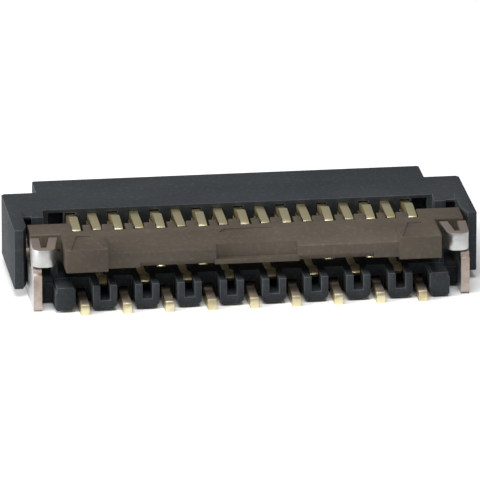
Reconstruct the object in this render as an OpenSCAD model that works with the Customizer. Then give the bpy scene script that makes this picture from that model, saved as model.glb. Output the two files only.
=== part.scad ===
// Flip-lock connector for a flat flexible cable, 0.3 mm pitch, low profile.
// Frame: origin on the board under the middle of the part. +X along the row of
// contacts, +Y from the cable mouth to the rear, +Z up from the board.

/* [Body] */
// Depth from the tooth faces to the rear face
body_d = 2.98; // [2.9:0.02:3.4]
// Height of the top face above the board
body_h = 1.0; // [0.98:0.01:1.2]
// Gap between the board and the moulded underside
standoff = 0.03; // [0.02:0.01:0.06]
// Thickness of the rear part's side walls, beside the cable mouth
rear_wall = 0.08; // [0.05:0.01:0.14]
// Length of the rear part, behind the arms
rear_l = 0.53; // [0.3:0.01:0.7]
// Length of each outer arm, from its tip to its rear corner
arm_l = 1.7; // [1.5:0.05:1.9]
// Thickness of each outer arm
arm_t = 0.19; // [0.14:0.01:0.3]
// Width of the low flange between the floor and each fitting
flange_w = 0.17; // [0.12:0.01:0.2]
// Thickness of the low walls that guide the cable's edges
guide_t = 0.08; // [0.06:0.01:0.1]
// Height of the arm undersides above the board
arm_lift = 0.13; // [0.08:0.01:0.2]
// Depth of the top plate, from its front edge to the rear face
plate_d = 1.34; // [1.25:0.01:1.5]
// How far the two shoulders beside the mouth stand in front of the top plate
shoulder_l = 0.14; // [0.06:0.01:0.2]

/* [Cable mouth] */
// Thickness of the cable end that the mouth takes
cable_t = 0.2; // [0.12:0.01:0.22]
// Clearance at each edge of the cable
cable_gap = 0.02; // [0.01:0.01:0.03]
// Height of the mouth floor above the board
floor_top = 0.38; // [0.36:0.01:0.4]
// Height of the mouth ceiling above the board
ceiling = 0.72; // [0.68:0.01:0.76]
// How far the mouth runs in under the top plate
mouth_in = 0.24; // [0.1:0.01:0.28]
// Height of the two low walls that guide the cable's edges
guide_top = 0.57; // [0.5:0.01:0.58]

/* [Teeth] */
// Width of each front tooth
tooth_w = 0.34; // [0.3:0.01:0.38]
// Length of each front tooth
tooth_l = 0.43; // [0.36:0.01:0.46]
// Height of the notch floor in each tooth above the board
notch_floor = 0.16; // [0.14:0.01:0.18]
// Bevel on the lower corners of the teeth
tooth_bevel = 0.06; // [0.03:0.01:0.08]
// How far the floor covers the front contacts behind the teeth
cover_l = 0.34; // [0.2:0.01:0.36]
// Width of the block at each end of the row of teeth
end_block_w = 0.28; // [0.24:0.01:0.3]

/* [Contacts] */
// Spacing of neighbouring contacts
pitch = 0.3; // [0.29:0.005:0.305]
// Thickness of the contact sheet
contact_t = 0.12; // [0.09:0.01:0.13]
// Clearance on each side of a contact in its channel
channel_gap = 0.01; // [0.005:0.005:0.02]
// Height of the solder tails
tail_h = 0.165; // [0.14:0.005:0.18]
// How far the tails stand out past the body
tail_reach = 0.15; // [0.1:0.01:0.3]
// Height of the contact base above the board
base_lift = 0.1; // [0.08:0.01:0.12]
// Height of the spring beams
beam_h = 0.08; // [0.06:0.005:0.09]
// How far a contact point stands above the mouth floor
point_rise = 0.03; // [0.01:0.01:0.06]
// Distance of the front contacts' points behind the tooth faces
front_point = 0.93; // [0.88:0.01:0.96]
// Distance of the rear contacts' points behind the tooth faces
rear_point = 0.345; // [0.33:0.005:0.4]
// Height of a spring beam's underside above the contact's base
beam_lift = 0.15; // [0.13:0.01:0.16]

/* [Flip lock] */
// How far each side of the lock plate stands in from the cable mouth's side
lock_inset = 0.06; // [0.04:0.01:0.12]
// Gap between each pivot lug and the arm beside it
lug_gap = 0.03; // [0.01:0.01:0.06]
// Thickness of the lock plate
lock_t = 0.35; // [0.3:0.01:0.36]
// Gap between the lock's top and the body's top plane
lock_drop = 0.02; // [0:0.01:0.04]
// Distance of the pivot axis behind the tooth faces
pivot_y = 0.97; // [0.94:0.01:1.02]
// Height of the pivot axis above the board
pivot_z = 0.8; // [0.78:0.01:0.82]
// Radius of the thin shaft between the comb walls
shaft_r = 0.055; // [0.04:0.005:0.06]
// Radius of the comb walls' rear ends about the pivot
heel_r = 0.1; // [0.08:0.01:0.11]
// Distance from the pivot axis to the bottom of the comb's gaps
comb_depth = 0.285; // [0.26:0.005:0.32]
// Thickness of the heavier comb walls
comb_thick = 0.155; // [0.1:0.005:0.16]
// Thickness of the lighter comb walls
comb_thin = 0.105; // [0.06:0.005:0.12]
// Distance from the pivot axis to the front of the lugs
lug_front = 0.37; // [0.3:0.01:0.4]
// Height of the pivot lugs
lug_h = 0.28; // [0.2:0.01:0.28]
// Width of each full-height end block of the front edge
corner_w = 0.57; // [0.4:0.01:0.8]
// How far the front edge stands back between the end blocks
lip_in = 0.15; // [0.08:0.01:0.18]
// Drop of the front edge between the end blocks
lip_drop = 0.12; // [0.06:0.01:0.14]
// Length of the slope that leads down to the front edge
lip_slope = 0.4; // [0.2:0.01:0.5]
// Half-width of the thumb notch
notch_half = 0.58; // [0.4:0.01:0.8]
// Depth of the thumb notch
notch_in = 0.1; // [0.04:0.01:0.14]
// Height of the small ledge below the thumb notch
notch_ledge = 0.07; // [0.04:0.01:0.1]
// Half-width of the bevel that a fingernail lifts
grip_half = 1.66; // [1.2:0.01:1.8]
// Height of that bevel
grip_h = 0.1; // [0.04:0.01:0.12]
// How far the notch and the bevel stand to the right of the middle
grip_shift = 0.06; // [0:0.01:0.1]

/* [Hold-down fittings] */
// Thickness of the fitting sheet
sheet_t = 0.12; // [0.1:0.01:0.13]
// Distance of the fitting's front edge behind the tooth faces
fitting_y = 0.1; // [0.05:0.01:0.2]
// Height of the folded tongue's lower edge above the board
tongue_z = 0.65; // [0.6:0.01:0.68]
// Height of the folded tongue at the front of its fold
tongue_h = 0.25; // [0.2:0.01:0.28]
// How much higher the tongue is at its rear end
tongue_rise = 0.06; // [0:0.01:0.06]
// Length of the folded tongue's inner leg, from the front of the fold
tongue_l = 0.4; // [0.3:0.01:0.42]
// Width over the fold, from its outer to its inner leg
fold_w = 0.32; // [0.3:0.01:0.34]
// Outer radius of the two corners of the fold
fold_r = 0.13; // [0.12:0.005:0.15]
// How far the inner leg spreads towards its end
splay = 0.06; // [0:0.01:0.08]
// Length of the solder foot along the board
foot_l = 1.25; // [0.8:0.05:1.3]
// Clearance on each side of the fitting in its slit
slit_gap = 0.01; // [0.005:0.005:0.02]

/* [Hidden] */
front_count = 9;
rear_count = 8;
eps = 0.02;
far = 2;
$fn = 32;

resin = [0.16, 0.17, 0.18];
brown = [0.36, 0.32, 0.28];
gold = [0.80, 0.70, 0.42];
tin = [0.78, 0.78, 0.76];

// places along Y, measured back from the tooth faces
arm_rear = body_d - rear_l;
arm_front = arm_rear - arm_l;
plate_front = body_d - plate_d;
shoulder_front = plate_front - shoulder_l;
mouth_back = plate_front + mouth_in;
column_front = mouth_back + 0.04;
column_back = column_front + 0.34;
cable_w = (front_count + rear_count + 1) * pitch;
mouth_half = cable_w / 2 + cable_gap;
floor_half = mouth_half + guide_t;
slit_in = floor_half + flange_w;
slit_out = slit_in + sheet_t + 2 * slit_gap;
fitting_x = slit_out - slit_gap;
body_w = 2 * (slit_out + arm_t);
rear_w = 2 * (mouth_half + rear_wall);
end_block_out = floor_half;
channel_w = contact_t + 2 * channel_gap;
channel_top = body_h - 0.06;
barb_back = shoulder_front + 0.6;
lock_w = 2 * (mouth_half - lock_inset);
lug_span = 2 * (slit_out - lug_gap);
corner_in = lock_w / 2 - corner_w;
lock_top = body_h - lock_drop;
lock_under = lock_top - lock_t;
lock_front = -tail_reach;
lip_front = lock_front + lip_in;
lip_top = lock_top - lip_drop;
comb_root = pivot_y - comb_depth;
comb_top = lock_top - 0.03;
lug_y = pivot_y - lug_front;
head_under = pivot_z + shaft_r + 0.012;
head_top = body_h - 0.055;
arm_under = ceiling + 0.04;
tail_top = base_lift + 0.09;

// ---------------------------------------------------------------- helpers

// Shifts a piece drawn back from the tooth faces into the part's frame.
module in_frame() {
    translate([0, -body_d / 2, 0])
        children();
}

// Draws the right half and its mirror image.
module both_sides() {
    children();
    mirror([1, 0, 0])
        children();
}

// Extrudes a side profile, given as [y, z], along X from x0 to x1.
module along_x(x0, x1) {
    translate([x0, 0, 0])
        rotate([90, 0, 90])
            linear_extrude(x1 - x0)
                children();
}

// Extrudes a front profile, given as [x, z], along Y from y0 to y1.
module along_y(y0, y1) {
    translate([0, y1, 0])
        rotate([90, 0, 0])
            linear_extrude(y1 - y0)
                children();
}

function front_x(i) = (i - (front_count - 1) / 2) * 2 * pitch;
function rear_x(i) = (i - (rear_count - 1) / 2) * 2 * pitch;

// ---------------------------------------------------------------- housing

// Half of the body seen from above: floor, slit for the fitting, arm, rear part.
module half_plan() {
    polygon([
        [-eps, tooth_l],
        [floor_half, tooth_l],
        [floor_half, tooth_l + eps],
        [slit_in, tooth_l + eps],
        [slit_in, shoulder_front + 0.02],
        [slit_out, shoulder_front + 0.02],
        [slit_out, arm_front + 0.2],
        [slit_out + arm_t / 3, arm_front],
        [body_w / 2, arm_front],
        [body_w / 2, arm_rear - 0.05],
        [body_w / 2 - 0.04, arm_rear],
        [rear_w / 2, arm_rear],
        [rear_w / 2, body_d - 0.03],
        [rear_w / 2 - 0.03, body_d],
        [-eps, body_d]
    ]);
}

// One front tooth, its lower corners bevelled and a notch down its middle.
module tooth() {
    h = tooth_w / 2;
    n = channel_w / 2;
    b = tooth_bevel;
    along_y(0, tooth_l + eps)
        polygon([
            [-h, standoff + b], [-h + b, standoff],
            [h - b, standoff], [h, standoff + b],
            [h, floor_top], [n, floor_top],
            [n, notch_floor], [-n, notch_floor],
            [-n, floor_top], [-h, floor_top]
        ]);
}

// The plain block at the right end of the teeth.
module end_block() {
    x0 = end_block_out - end_block_w;
    x1 = end_block_out;
    b = tooth_bevel;
    along_y(0, tooth_l + eps)
        polygon([
            [x0, standoff + b], [x0 + b, standoff],
            [x1 - 0.02, standoff], [x1, standoff + 0.02],
            [x1, floor_top - 0.02], [x1 - 0.02, floor_top - 0.01],
            [x0 + 0.03, floor_top - 0.01], [x0, floor_top - 0.04]
        ]);
}

// The cable mouth's side profile: open in front of the top plate.
module mouth_profile() {
    polygon([
        [-far, floor_top], [mouth_back, floor_top],
        [mouth_back, ceiling - 0.05], [mouth_back - 0.05, ceiling],
        [plate_front, ceiling], [plate_front, far], [-far, far]
    ]);
}

// The channel of a contact that is pushed in from the front: a low tunnel
// under the floor's front rim, then open to the cable mouth.
module front_channel_profile() {
    polygon([
        [-far, base_lift], [column_back, base_lift],
        [column_back, channel_top], [plate_front - eps, channel_top],
        [plate_front - eps, floor_top + eps],
        [tooth_l + cover_l, floor_top + eps],
        [tooth_l + cover_l, tail_top + 0.02],
        [tooth_l + 0.02, tail_top + 0.02], [tooth_l - eps, tail_top + 0.04],
        [-far, tail_top + 0.04]
    ]);
}

// The channel of a contact that is pushed in from the rear.
module rear_channel_profile() {
    polygon([
        [-far, notch_floor], [column_front, notch_floor],
        [column_front, base_lift], [body_d - 0.16, base_lift],
        [body_d - 0.16, -far], [body_d + far, -far],
        [body_d + far, floor_top + 0.24], [column_back, channel_top],
        [plate_front - eps, channel_top],
        [plate_front - eps, floor_top + eps], [-far, floor_top + eps]
    ]);
}

// What is cut away at the right end: around the guide wall, the flange, the
// shoulder and the arm.
module end_cuts() {
    // above the guide wall
    along_x(mouth_half - eps, floor_half)
        polygon([
            [-far, floor_top], [tooth_l, floor_top],
            [tooth_l + 0.05, guide_top], [plate_front, guide_top],
            [plate_front, far], [-far, far]
        ]);
    // above the low flange beside the floor, up to the shoulder's face
    along_x(floor_half - eps, slit_out)
        polygon([
            [-far, 0.3], [shoulder_front, 0.3],
            [shoulder_front, body_h - 0.06], [plate_front, body_h],
            [plate_front, far], [-far, far]
        ]);
    // the arm stands clear of the board
    translate([slit_in, -far, -far])
        cube([far, body_d + 2 * far, far + arm_lift]);
    // the deep pocket under the plate, between the last contact and the shoulder
    along_x(4 * 2 * pitch + 0.1, mouth_half)
        polygon([
            [plate_front - eps, ceiling - eps], [mouth_back, ceiling - eps],
            [mouth_back, body_h - 0.05], [plate_front - eps, body_h - 0.05]
        ]);
    // the slit's blind end, which holds the fitting's barb
    along_x(slit_in, slit_out)
        polygon([
            [shoulder_front, -eps], [shoulder_front + 0.05, -eps],
            [shoulder_front + 0.05, 0.2], [barb_back, 0.2],
            [barb_back, 0.7], [shoulder_front + 0.2, 0.7],
            [shoulder_front + 0.2, body_h - 0.09],
            [shoulder_front, body_h - 0.09]
        ]);
    // the bevelled inner corner of the shoulder
    translate([mouth_half, shoulder_front, guide_top])
        linear_extrude(far)
            polygon([[-eps, -eps], [0.06, -eps], [-eps, 0.06]]);
}

module housing() {
    color(resin)
        in_frame()
            difference() {
                union() {
                    translate([0, 0, standoff])
                        linear_extrude(body_h - standoff)
                            both_sides() half_plan();
                    for (i = [0:rear_count - 1])
                        translate([rear_x(i), 0, 0])
                            tooth();
                    both_sides() end_block();
                }
                along_x(-mouth_half, mouth_half) mouth_profile();
                both_sides() end_cuts();
                for (i = [0:front_count - 1])
                    translate([front_x(i), 0, 0])
                        along_x(-channel_w / 2, channel_w / 2)
                            front_channel_profile();
                for (i = [0:rear_count - 1])
                    translate([rear_x(i), 0, 0])
                        along_x(-channel_w / 2, channel_w / 2)
                            rear_channel_profile();
            }
}

// ---------------------------------------------------------------- flip lock

// Side profile of an end block of the lock plate: full height to the front.
module corner_profile() {
    polygon([
        [lock_front, lock_under + 0.02], [lock_front + 0.02, lock_under],
        [comb_root, lock_under], [comb_root, lock_top],
        [lock_front + 0.02, lock_top], [lock_front, lock_top - 0.02]
    ]);
}

// Side profile of the lock plate between its end blocks: the top slopes down to
// a lip that stands back a little.
module lip_profile() {
    polygon([
        [lip_front, lock_under], [comb_root, lock_under],
        [comb_root, lock_top], [lip_front + lip_slope, lock_top],
        [lip_front + 0.015, lip_top], [lip_front, lip_top - 0.015]
    ]);
}

// Side profile of a comb wall: it runs back from the plate to a round heel.
module wall_profile() {
    union() {
        polygon([
            [comb_root - eps, lock_under], [pivot_y - 0.04, lock_under + 0.04],
            [pivot_y + heel_r * 0.6, pivot_z - heel_r * 0.8],
            [pivot_y + heel_r, pivot_z], [pivot_y + heel_r, comb_top - 0.03],
            [pivot_y + heel_r - 0.03, comb_top], [comb_root - eps, comb_top]
        ]);
        translate([pivot_y, pivot_z])
            circle(r = heel_r);
    }
}

// One comb wall of a given thickness, its rear end rounded in plan.
module comb_wall(t) {
    intersection() {
        along_x(-t / 2, t / 2) wall_profile();
        linear_extrude(far)
            union() {
                translate([-t / 2, 0])
                    square([t, pivot_y + heel_r - t / 2]);
                translate([0, pivot_y + heel_r - t / 2])
                    circle(r = t / 2);
            }
    }
}

// The pivot lug at the right end, and the plain end of the comb beside it.
module lug() {
    x0 = front_count * pitch - 0.225;
    y1 = pivot_y + heel_r;
    z0 = lock_top - lug_h;
    along_x(x0, lock_w / 2)
        polygon([
            [comb_root - eps, lock_under], [y1 - 0.06, lock_under + 0.05],
            [y1, z0 + 0.04], [y1, lock_top - 0.02], [y1 - 0.02, lock_top],
            [comb_root - eps, lock_top]
        ]);
    along_x(lock_w / 2 - eps, lug_span / 2)
        polygon([
            [lug_y, z0 + 0.05], [lug_y + 0.05, z0],
            [y1 - 0.04, z0], [y1, z0 + 0.04],
            [y1, lock_top - 0.02], [y1 - 0.02, lock_top],
            [lug_y + 0.02, lock_top], [lug_y, lock_top - 0.02]
        ]);
}

// The bevel under the lip that a fingernail lifts, and the thumb notch above it.
module grip_cuts() {
    y0 = lip_front;
    translate([grip_shift, 0, 0]) {
        along_x(-grip_half, grip_half)
            polygon([
                [y0 - eps, lock_under - eps], [y0 + grip_h, lock_under - eps],
                [y0 + grip_h * 0.7, lock_under],
                [y0 - eps, lock_under + grip_h]
            ]);
        along_x(-notch_half, notch_half)
            polygon([
                [y0 - eps, lock_under + notch_ledge],
                [y0 + notch_in, lock_under + notch_ledge],
                [y0 + notch_in + 0.02, lock_top + eps],
                [y0 - eps, lock_top + eps]
            ]);
    }
}

// The ledge that stays below the thumb notch.
module notch_ledge_bar() {
    translate([grip_shift, 0, 0])
        along_x(-notch_half - eps, notch_half + eps)
            polygon([
                [lip_front, lock_under], [lip_front + 0.15, lock_under],
                [lip_front + 0.15, lock_under + notch_ledge],
                [lip_front + 0.01, lock_under + notch_ledge],
                [lip_front, lock_under + notch_ledge - 0.01]
            ]);
}

// Shallow pads pressed into the top: one behind the notch, one on an end block.
module thumb_pad() {
    translate([0, 0, lock_top - 0.012])
        linear_extrude(far)
            polygon([
                [-0.34, lip_front + lip_slope + 0.12],
                [0.34, lip_front + lip_slope + 0.12],
                [0.44, lip_front + lip_slope - 0.02],
                [-0.44, lip_front + lip_slope - 0.02]
            ]);
}

module corner_pad() {
    x0 = corner_in;
    translate([0, 0, lock_top - 0.012])
        linear_extrude(far)
            polygon([
                [x0 + 0.17, 0.45], [x0 + 0.37, 0.45],
                [x0 + 0.51, lock_front - eps], [x0 + 0.01, lock_front - eps]
            ]);
}

module actuator() {
    color(brown)
        in_frame()
            union() {
                difference() {
                    union() {
                        along_x(-corner_in, corner_in) lip_profile();
                        both_sides()
                            along_x(corner_in - eps, lock_w / 2)
                                corner_profile();
                    }
                    grip_cuts();
                    thumb_pad();
                    both_sides() corner_pad();
                }
                notch_ledge_bar();
                both_sides() lug();
                for (i = [0:rear_count - 1]) {
                    translate([rear_x(i) - pitch / 2, 0, 0])
                        comb_wall(comb_thin);
                    translate([rear_x(i) + pitch / 2, 0, 0])
                        comb_wall(comb_thick);
                }
                translate([-lock_w / 2 + 0.1, pivot_y, pivot_z])
                    rotate([0, 90, 0])
                        cylinder(h = lock_w - 0.2, r = shaft_r);
            }
}

// ---------------------------------------------------------------- contacts

// Side profile of a lower spring beam that ends in a rounded contact point.
module beam_profile(point_y) {
    low = base_lift + beam_lift;
    top = floor_top + point_rise;
    polygon([
        [column_front + eps, low], [column_front + eps, low + beam_h + 0.01],
        [point_y + 0.37, low + beam_h], [point_y + 0.09, top - 0.025],
        [point_y + 0.03, top], [point_y - 0.03, top],
        [point_y - 0.09, top - 0.05], [point_y - 0.11, low + beam_h + 0.01],
        [point_y - 0.06, low + 0.03], [point_y + 0.37, low]
    ]);
}

// Side profile of a contact with its solder tail at the front.
module front_contact_profile() {
    t = lock_front;
    tip = pivot_y - 0.115;
    bend = plate_front - 0.32;
    // tail and base bar
    polygon([
        [t, 0], [tooth_l - 0.03, 0], [tooth_l - 0.03, base_lift],
        [column_back - 0.02, base_lift], [column_back - 0.02, tail_top],
        [0.32, tail_top], [0.28, tail_h], [t + 0.05, tail_h],
        [t + 0.015, tail_h - 0.015], [t, tail_h - 0.05]
    ]);
    // column
    polygon([
        [column_front, tail_top - eps], [column_back - 0.02, tail_top - eps],
        [column_back - 0.02, channel_top - 0.03],
        [column_back - 0.05, channel_top], [column_front, channel_top]
    ]);
    beam_profile(front_point);
    // upper arm and the head that reaches over the shaft
    polygon([
        [column_front + eps, channel_top], [plate_front - 0.05, channel_top - 0.03],
        [bend + 0.05, body_h - 0.03], [bend, body_h - 0.015],
        [bend - 0.06, body_h - 0.015],
        [tip + 0.045, head_top], [tip + 0.01, head_top - 0.02],
        [tip, head_top - 0.05], [tip, head_under - 0.017],
        [tip + 0.03, head_under - 0.027],
        [pivot_y - 0.06, head_under - 0.008], [pivot_y - 0.03, head_under],
        [pivot_y + 0.12, head_under], [bend - 0.02, head_under - 0.027],
        [plate_front, arm_under + 0.03], [column_front + eps, arm_under]
    ]);
}

// Side profile of a contact with its solder tail at the rear.
module rear_contact_profile() {
    r = body_d + tail_reach;
    // tail and base bar
    polygon([
        [column_front + 0.02, base_lift], [body_d - 0.13, base_lift],
        [body_d - 0.13, 0], [r, 0], [r, tail_h - 0.05],
        [r - 0.015, tail_h - 0.015], [r - 0.05, tail_h],
        [body_d - 0.1, tail_h], [body_d - 0.14, tail_top],
        [column_front + 0.02, tail_top]
    ]);
    // column
    polygon([
        [column_front, tail_top - eps], [column_back + 0.1, tail_top - eps],
        [column_back + 0.1, floor_top + 0.17], [column_back - 0.02, channel_top - 0.05],
        [column_back - 0.05, channel_top], [column_front, channel_top]
    ]);
    beam_profile(rear_point);
    // upper arm, lower than the front contacts' so that it passes its channel
    polygon([
        [column_front + eps, channel_top], [plate_front - 0.05, channel_top - 0.01],
        [plate_front - 0.34, head_top - 0.015], [pivot_y - 0.01, head_top - 0.02],
        [pivot_y - 0.04, head_top - 0.035],
        [pivot_y - 0.045, head_under + 0.005], [pivot_y - 0.03, head_under],
        [pivot_y + 0.14, head_under], [plate_front - 0.34, head_under - 0.037],
        [plate_front, arm_under + 0.03], [column_front + eps, arm_under]
    ]);
}

module contact_front(i) {
    color(gold)
        in_frame()
            translate([front_x(i), 0, 0])
                along_x(-contact_t / 2, contact_t / 2)
                    front_contact_profile();
}

module contact_rear(i) {
    color(gold)
        in_frame()
            translate([rear_x(i), 0, 0])
                along_x(-contact_t / 2, contact_t / 2)
                    rear_contact_profile();
}

module contact_front_1() { contact_front(0); }
module contact_front_2() { contact_front(1); }
module contact_front_3() { contact_front(2); }
module contact_front_4() { contact_front(3); }
module contact_front_5() { contact_front(4); }
module contact_front_6() { contact_front(5); }
module contact_front_7() { contact_front(6); }
module contact_front_8() { contact_front(7); }
module contact_front_9() { contact_front(8); }
module contact_rear_1() { contact_rear(0); }
module contact_rear_2() { contact_rear(1); }
module contact_rear_3() { contact_rear(2); }
module contact_rear_4() { contact_rear(3); }
module contact_rear_5() { contact_rear(4); }
module contact_rear_6() { contact_rear(5); }
module contact_rear_7() { contact_rear(6); }
module contact_rear_8() { contact_rear(7); }

// ---------------------------------------------------------------- fittings

// Side profile of the upright plate: solder foot, notch under the tongue,
// saddle below the lug and barb at the rear.
module upright_profile() {
    y0 = fitting_y;
    y1 = y0 + tongue_l;
    saddle = tongue_z - 0.13;
    polygon([
        [y0 + 0.03, 0], [y0 + foot_l, 0], [y0 + foot_l, 0.22],
        [barb_back - 0.05, 0.22], [barb_back - 0.02, 0.25],
        [barb_back - 0.02, 0.62], [barb_back - 0.05, 0.65],
        [shoulder_front - 0.1, 0.65], [shoulder_front - 0.1, saddle],
        [y1, saddle], [y1 - 0.06, saddle + 0.06],
        [y1 - 0.06, tongue_z + eps], [y0 + fold_r, tongue_z + eps],
        [y0 + fold_r, tongue_z - 0.02], [y0 + 0.05, tongue_z - 0.04],
        [y0 + 0.05, tongue_z - 0.1], [y0, tongue_z - 0.12], [y0, 0.04]
    ]);
}

// The fold seen from above: a web across the front between two corners, the
// outer leg straight and the inner leg spread a little.
module fold_plan() {
    x0 = fitting_x - fold_w;
    x1 = fitting_x;
    y0 = fitting_y;
    y1 = fitting_y + tongue_l;
    t = sheet_t;
    difference() {
        union() {
            translate([x0 + fold_r, y0 + fold_r]) circle(r = fold_r);
            translate([x1 - fold_r, y0 + fold_r]) circle(r = fold_r);
            translate([x0 + fold_r, y0]) square([fold_w - 2 * fold_r, t]);
            polygon([
                [x0, y0 + fold_r], [x0 + t, y0 + fold_r],
                [x0 + t - splay, y1], [x0 - splay, y1]
            ]);
            translate([x1 - t, y0 + fold_r]) square([t, tongue_l - fold_r]);
        }
        polygon([
            [x0 + t, y0 + t], [x1 - t, y0 + t], [x1 - t, y1 + eps],
            [x0 + t - splay, y1 + eps], [x0 + t, y0 + fold_r]
        ]);
    }
}

// The tongue folds around the front and runs back on the inside. Its top edge
// climbs towards the rear.
module tongue() {
    top = tongue_z + tongue_h;
    intersection() {
        along_x(0, fitting_x + eps)
            polygon([
                [0, tongue_z], [fitting_y + tongue_l, tongue_z],
                [fitting_y + tongue_l, top + tongue_rise],
                [fitting_y + 0.08, top], [0, top]
            ]);
        linear_extrude(far)
            fold_plan();
    }
}

module fitting() {
    union() {
        along_x(fitting_x - sheet_t, fitting_x) upright_profile();
        tongue();
    }
}

module fitting_left() {
    color(tin)
        in_frame()
            mirror([1, 0, 0])
                fitting();
}

module fitting_right() {
    color(tin)
        in_frame()
            fitting();
}

// ---------------------------------------------------------------- drawing

housing();
actuator();
contact_front_1();
contact_front_2();
contact_front_3();
contact_front_4();
contact_front_5();
contact_front_6();
contact_front_7();
contact_front_8();
contact_front_9();
contact_rear_1();
contact_rear_2();
contact_rear_3();
contact_rear_4();
contact_rear_5();
contact_rear_6();
contact_rear_7();
contact_rear_8();
fitting_left();
fitting_right();
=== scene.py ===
import math

import bpy
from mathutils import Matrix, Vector


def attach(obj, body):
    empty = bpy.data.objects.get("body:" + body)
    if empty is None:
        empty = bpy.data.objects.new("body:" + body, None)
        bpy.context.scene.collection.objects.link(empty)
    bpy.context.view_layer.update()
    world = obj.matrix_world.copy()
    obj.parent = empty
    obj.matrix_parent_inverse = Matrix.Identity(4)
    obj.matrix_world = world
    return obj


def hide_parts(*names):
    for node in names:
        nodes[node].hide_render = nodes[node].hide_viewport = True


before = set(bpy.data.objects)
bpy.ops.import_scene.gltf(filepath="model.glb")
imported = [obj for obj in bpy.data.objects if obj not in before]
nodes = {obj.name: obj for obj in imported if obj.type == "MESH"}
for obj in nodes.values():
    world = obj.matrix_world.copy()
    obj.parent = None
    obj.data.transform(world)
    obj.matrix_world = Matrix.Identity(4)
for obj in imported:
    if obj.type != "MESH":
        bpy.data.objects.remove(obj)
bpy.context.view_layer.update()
scene = bpy.context.scene
mm = 0.001

# ------------------------------------------------------------------ camera
# A long lens low in front of the cable mouth, a little to the left.
AZIMUTH = math.radians(-7.6)
ELEVATION = math.radians(18.2)
DISTANCE = 141 * mm
PIXELS_PER_METRE = 70300
FRAME_WIDTH = 480
SENSOR_WIDTH = 36
AIM = Vector((0.0116 * mm, 0, 0.48 * mm))

back = Vector((
    math.sin(AZIMUTH) * math.cos(ELEVATION),
    -math.cos(AZIMUTH) * math.cos(ELEVATION),
    math.sin(ELEVATION),
))
bpy.ops.object.camera_add(location=AIM + back * DISTANCE)
camera = bpy.context.object
camera.name = "camera"
camera.rotation_euler = back.to_track_quat("Z", "Y").to_euler()
camera.data.sensor_width = SENSOR_WIDTH
camera.data.lens = PIXELS_PER_METRE * DISTANCE / FRAME_WIDTH * SENSOR_WIDTH
camera.data.clip_start = DISTANCE / 10
camera.data.clip_end = DISTANCE * 10
scene.camera = camera

# ----------------------------------------------------------------- housing
# The housing is one moulding in black glass-filled resin: floor and teeth,
# the plate over the contacts, and an arm at each end. Every edge that the
# mould leaves sharp is rounded to a small radius, painted paler as an edge
# highlight.
MOULDED_EDGE = 0.012
EDGE_ANGLE = math.radians(30)
SMOOTH_ANGLE = math.radians(40)
FLAT_ANGLE = math.radians(1)
LOOSE_POINTS = 0.0002
RESIN_GRAIN = 0.003


def deselect():
    bpy.ops.object.select_all(action="DESELECT")


def softened_copy(node, name, edge, edge_material=-1):
    """A piece in the place of a CAD node, with its edges rounded."""
    deselect()
    source = nodes[node]
    source.select_set(True)
    bpy.context.view_layer.objects.active = source
    bpy.ops.object.duplicate()
    piece = bpy.context.object
    piece.name = name
    piece.data.name = name
    for key in list(piece.keys()):
        del piece[key]
    piece.parent = None
    piece.scale = (1 / mm, 1 / mm, 1 / mm)
    bpy.ops.object.transform_apply(location=False, rotation=False, scale=True)
    bpy.ops.object.mode_set(mode="EDIT")
    bpy.ops.mesh.select_all(action="SELECT")
    bpy.ops.mesh.remove_doubles(threshold=LOOSE_POINTS)
    bpy.ops.mesh.dissolve_limited(angle_limit=FLAT_ANGLE)
    bpy.ops.object.mode_set(mode="OBJECT")
    bevel = piece.modifiers.new("edges", "BEVEL")
    bevel.width = edge
    bevel.segments = 2
    bevel.limit_method = "ANGLE"
    bevel.angle_limit = EDGE_ANGLE
    bevel.material = edge_material
    piece.data.materials.clear()
    piece.data.materials.append(None)
    piece.data.materials.append(None)
    bpy.ops.object.modifier_apply(modifier="edges")
    piece.scale = (mm, mm, mm)
    bpy.ops.object.transform_apply(location=False, rotation=False, scale=True)
    bpy.ops.object.shade_smooth_by_angle(angle=SMOOTH_ANGLE)
    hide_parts(node)
    return piece


def finish_group(name, first_color, second_color, amount):
    """An empty node group with sockets for two colours, an amount and a roughness,
    and outputs for colour, roughness and height.
    """
    group = bpy.data.node_groups.new(name, "ShaderNodeTree")
    for socket, kind in (
        (first_color, "NodeSocketColor"),
        (second_color, "NodeSocketColor"),
        (amount, "NodeSocketFloat"),
        ("Roughness", "NodeSocketFloat"),
    ):
        group.interface.new_socket(socket, in_out="INPUT", socket_type=kind)
    for socket, kind in (
        ("Color", "NodeSocketColor"),
        ("Roughness", "NodeSocketFloat"),
        ("Height", "NodeSocketFloat"),
    ):
        group.interface.new_socket(socket, in_out="OUTPUT", socket_type=kind)
    return group


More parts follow.
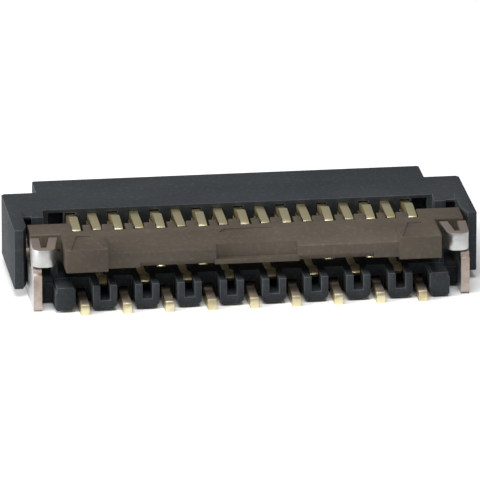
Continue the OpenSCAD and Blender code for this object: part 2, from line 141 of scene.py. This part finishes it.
def moulded_skin():
    """Node group: the cloudy tone, fine speckle and grain of filled resin."""
    group = finish_group("moulded_skin", "Tone", "Bloom", "Clouds")
    new = group.nodes.new
    link = group.links.new
    given = new("NodeGroupInput")
    result = new("NodeGroupOutput")
    place = new("ShaderNodeTexCoord").outputs["Object"]
    clouds = new("ShaderNodeTexNoise")
    clouds.inputs["Scale"].default_value = 1.1 / mm
    clouds.inputs["Detail"].default_value = 5
    speckle = new("ShaderNodeTexNoise")
    speckle.inputs["Scale"].default_value = 16 / mm
    speckle.inputs["Detail"].default_value = 3
    fibres = new("ShaderNodeTexVoronoi")
    fibres.inputs["Scale"].default_value = 22 / mm
    for texture in (clouds, speckle, fibres):
        link(place, texture.inputs["Vector"])
    cloud_band = new("ShaderNodeMapRange")
    cloud_band.inputs["From Min"].default_value = 0.35
    cloud_band.inputs["From Max"].default_value = 0.75
    link(clouds.outputs["Fac"], cloud_band.inputs["Value"])
    speck_band = new("ShaderNodeMapRange")
    speck_band.inputs["From Min"].default_value = 0.5
    speck_band.inputs["From Max"].default_value = 0.8
    link(speckle.outputs["Fac"], speck_band.inputs["Value"])
    both = new("ShaderNodeMath")
    both.operation = "MULTIPLY_ADD"
    link(cloud_band.outputs["Result"], both.inputs[0])
    link(given.outputs["Clouds"], both.inputs[1])
    link(speck_band.outputs["Result"], both.inputs[2])
    share = new("ShaderNodeMath")
    share.operation = "MULTIPLY"
    share.use_clamp = True
    share.inputs[1].default_value = 0.6
    link(both.outputs[0], share.inputs[0])
    mix = new("ShaderNodeMix")
    mix.data_type = "RGBA"
    link(share.outputs[0], mix.inputs["Factor"])
    link(given.outputs["Tone"], mix.inputs["A"])
    link(given.outputs["Bloom"], mix.inputs["B"])
    link(mix.outputs["Result"], result.inputs["Color"])
    rough = new("ShaderNodeMath")
    rough.operation = "MULTIPLY_ADD"
    rough.inputs[1].default_value = -0.18
    link(share.outputs[0], rough.inputs[0])
    link(given.outputs["Roughness"], rough.inputs[2])
    link(rough.outputs[0], result.inputs["Roughness"])
    height = new("ShaderNodeMath")
    height.operation = "MULTIPLY_ADD"
    height.inputs[1].default_value = 0.5
    link(fibres.outputs["Distance"], height.inputs[0])
    link(speckle.outputs["Fac"], height.inputs[2])
    link(height.outputs[0], result.inputs["Height"])
    return group


skin = moulded_skin()


def surface(name, group, values, grain, specular, metallic=0.0):
    """A material whose colour, roughness and bump come from a node group."""
    material = bpy.data.materials.new(name)
    material.use_nodes = True
    tree = material.node_tree
    shader = tree.nodes["Principled BSDF"]
    shader.inputs["Specular IOR Level"].default_value = specular
    shader.inputs["Metallic"].default_value = metallic
    effect = tree.nodes.new("ShaderNodeGroup")
    effect.node_tree = group
    for socket, value in values.items():
        effect.inputs[socket].default_value = value
    bump = tree.nodes.new("ShaderNodeBump")
    bump.inputs["Strength"].default_value = 0.6
    bump.inputs["Distance"].default_value = grain * mm
    tree.links.new(effect.outputs["Color"], shader.inputs["Base Color"])
    tree.links.new(effect.outputs["Roughness"], shader.inputs["Roughness"])
    tree.links.new(effect.outputs["Height"], bump.inputs["Height"])
    tree.links.new(bump.outputs["Normal"], shader.inputs["Normal"])
    return material


def resin(name, tone, bloom, clouds, roughness, specular):
    values = {
        "Tone": (*tone, 1),
        "Bloom": (*bloom, 1),
        "Clouds": clouds,
        "Roughness": roughness,
    }
    return surface(name, skin, values, RESIN_GRAIN, specular)


black_resin = resin(
    "black_resin", (0.023, 0.027, 0.031), (0.048, 0.051, 0.054), 0.5, 0.72, 0.14
)
# A paler resin on the rounded edges: a painted highlight along each edge.
black_painted_edge_highlight = resin(
    "black_painted_edge_highlight", (0.050, 0.056, 0.060), (0.095, 0.100, 0.102), 0.9, 0.6, 0.25
)
housing = softened_copy("housing", "housing_moulding", MOULDED_EDGE, 1)
housing.data.materials[0] = black_resin
housing.data.materials[1] = black_painted_edge_highlight
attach(housing, "connector_body")

# --------------------------------------------------------------- flip lock
# The lock is a second moulding, in a brown-grey resin that shows the flow
# of its filler. It snaps in under the contacts' heads and turns up on its
# shaft to let the cable in.
brown_resin = resin(
    "brown_resin", (0.058, 0.046, 0.034), (0.092, 0.077, 0.059), 0.9, 0.6, 0.2
)
# A paler brown on the rounded edges: a painted highlight along each edge.
brown_painted_edge_highlight = resin(
    "brown_painted_edge_highlight", (0.092, 0.075, 0.060), (0.145, 0.122, 0.100), 1.0, 0.5, 0.3
)
lock = softened_copy("actuator", "flip_lock_moulding", MOULDED_EDGE, 1)
lock.data.materials[0] = brown_resin
lock.data.materials[1] = brown_painted_edge_highlight
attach(lock, "flip_lock")

# ---------------------------------------------------------------- contacts
# Seventeen contacts are punched from spring sheet, so what shows from the
# front and from above are sheared edges, streaked across their thickness.
# They are flashed with pale gold; the tails are tinned where solder wets them.
SHEARED_EDGE = 0.008
STREAK_DEPTH = 0.006
TAIL_TOP = 0.2
FRONT_CONTACTS = 9
REAR_CONTACTS = 8


def sheared_metal():
    """Node group: shear streaks, tarnish and fine scratches on sheet metal."""
    group = finish_group("sheared_metal", "Bright", "Tarnish", "Patches")
    new = group.nodes.new
    link = group.links.new
    given = new("NodeGroupInput")
    result = new("NodeGroupOutput")
    place = new("ShaderNodeTexCoord").outputs["Object"]
    stretch = new("ShaderNodeMapping")
    stretch.inputs["Scale"].default_value = (0.25, 1, 1)
    link(place, stretch.inputs["Vector"])
    streaks = new("ShaderNodeTexNoise")
    streaks.inputs["Scale"].default_value = 30 / mm
    streaks.inputs["Detail"].default_value = 2
    link(stretch.outputs["Vector"], streaks.inputs["Vector"])
    patches = new("ShaderNodeTexNoise")
    patches.inputs["Scale"].default_value = 5 / mm
    patches.inputs["Detail"].default_value = 4
    link(place, patches.inputs["Vector"])
    band = new("ShaderNodeMapRange")
    band.inputs["From Min"].default_value = 0.4
    band.inputs["From Max"].default_value = 0.7
    link(patches.outputs["Fac"], band.inputs["Value"])
    share = new("ShaderNodeMath")
    share.operation = "MULTIPLY"
    share.use_clamp = True
    link(band.outputs["Result"], share.inputs[0])
    link(given.outputs["Patches"], share.inputs[1])
    mix = new("ShaderNodeMix")
    mix.data_type = "RGBA"
    link(share.outputs[0], mix.inputs["Factor"])
    link(given.outputs["Bright"], mix.inputs["A"])
    link(given.outputs["Tarnish"], mix.inputs["B"])
    link(mix.outputs["Result"], result.inputs["Color"])
    rough = new("ShaderNodeMath")
    rough.operation = "MULTIPLY_ADD"
    rough.inputs[1].default_value = 0.25
    link(share.outputs[0], rough.inputs[0])
    link(given.outputs["Roughness"], rough.inputs[2])
    link(rough.outputs[0], result.inputs["Roughness"])
    link(streaks.outputs["Fac"], result.inputs["Height"])
    return group


sheared = sheared_metal()


def plated(name, bright, tarnish, patches, roughness):
    values = {
        "Bright": (*bright, 1),
        "Tarnish": (*tarnish, 1),
        "Patches": patches,
        "Roughness": roughness,
    }
    return surface(name, sheared, values, STREAK_DEPTH, 0.5, 1.0)


gold_edge = plated("gold_edge", (0.76, 0.70, 0.45), (0.46, 0.36, 0.20), 0.6, 0.32)
gold_face = plated("gold_face", (0.60, 0.50, 0.26), (0.34, 0.25, 0.12), 0.6, 0.4)
tinned_tail = plated("tinned_tail", (0.72, 0.62, 0.50), (0.50, 0.38, 0.28), 0.6, 0.4)


def make_contact(kind, number):
    contact = softened_copy(
        f"contact_{kind}_{number}", f"{kind}_contact_{number}", SHEARED_EDGE
    )
    contact.data.materials[0] = gold_edge
    contact.data.materials[1] = gold_face
    contact.data.materials.append(tinned_tail)
    for face in contact.data.polygons:
        if abs(face.normal.x) > 0.9:
            face.material_index = 1
        elif face.normal.z > 0.7 and face.center.z < TAIL_TOP * mm:
            face.material_index = 2
    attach(contact, "connector_body")


for number in range(1, FRONT_CONTACTS + 1):
    make_contact("front", number)
for number in range(1, REAR_CONTACTS + 1):
    make_contact("rear", number)

# ---------------------------------------------------------- hold-down fittings
# A fitting is pressed into a slit at each end and soldered to the board. It
# is tin-plated sheet, folded back at the front: the rolled faces are bright,
# and the sheared edges show the copper alloy through the thin plate.
tin_face = plated("tin_face", (0.53, 0.54, 0.53), (0.42, 0.42, 0.41), 0.6, 0.36)
tin_edge = plated("tin_edge", (0.46, 0.39, 0.34), (0.32, 0.25, 0.21), 0.8, 0.4)
FOLD_BOTTOM = 0.6


def sheared_face(face):
    """True where a face is a cut edge of the fitting's sheet."""
    if face.center.z > FOLD_BOTTOM * mm:
        return abs(face.normal.z) > 0.6 or face.normal.y > 0.8
    return abs(face.normal.x) < 0.6


for side in ("left", "right"):
    fitting = softened_copy(f"fitting_{side}", f"hold_down_{side}", SHEARED_EDGE)
    fitting.data.materials[0] = tin_face
    fitting.data.materials[1] = tin_edge
    for face in fitting.data.polygons:
        face.material_index = 1 if sheared_face(face) else 0
    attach(fitting, "connector_body")

# -------------------------------------------------------------------- stage
# A plain white table under a large soft lamp on the left and another
# overhead, in a white room that lights the part only weakly.
TABLE_SIZE = 400
ROOM_LIGHT = 0.3

bpy.ops.mesh.primitive_plane_add(size=TABLE_SIZE * mm)
floor = bpy.context.object
floor.name = "floor"
table = bpy.data.materials.new("table")
table.use_nodes = True
shader = table.node_tree.nodes["Principled BSDF"]
shader.inputs["Base Color"].default_value = (0.9, 0.9, 0.9, 1)
shader.inputs["Roughness"].default_value = 0.9
floor.data.materials.append(table)

world = bpy.data.worlds.new("studio")
scene.world = world
world.use_nodes = True
tree = world.node_tree
room = tree.nodes["Background"]
room.inputs["Color"].default_value = (1, 1, 1, 1)
rays = tree.nodes.new("ShaderNodeLightPath")
seen = tree.nodes.new("ShaderNodeMath")
seen.operation = "MAXIMUM"
tree.links.new(rays.outputs["Is Camera Ray"], seen.inputs[0])
tree.links.new(rays.outputs["Is Transmission Ray"], seen.inputs[1])
level = tree.nodes.new("ShaderNodeMapRange")
level.inputs["To Min"].default_value = ROOM_LIGHT
level.inputs["To Max"].default_value = 1.0
tree.links.new(seen.outputs[0], level.inputs["Value"])
tree.links.new(level.outputs["Result"], room.inputs["Strength"])


def softbox(name, position, size, watts):
    place = Vector(position) * mm
    bpy.ops.object.light_add(type="AREA", location=place)
    lamp = bpy.context.object
    lamp.name = name
    lamp.data.shape = "SQUARE"
    lamp.data.size = size * mm
    lamp.data.energy = watts
    lamp.rotation_euler = (place - AIM).to_track_quat("Z", "Y").to_euler()


softbox("left_box", (-45, -12, 22), 30, 0.028)
softbox("top_box", (-5, -20, 55), 35, 0.03)

scene.view_settings.view_transform = "Standard"
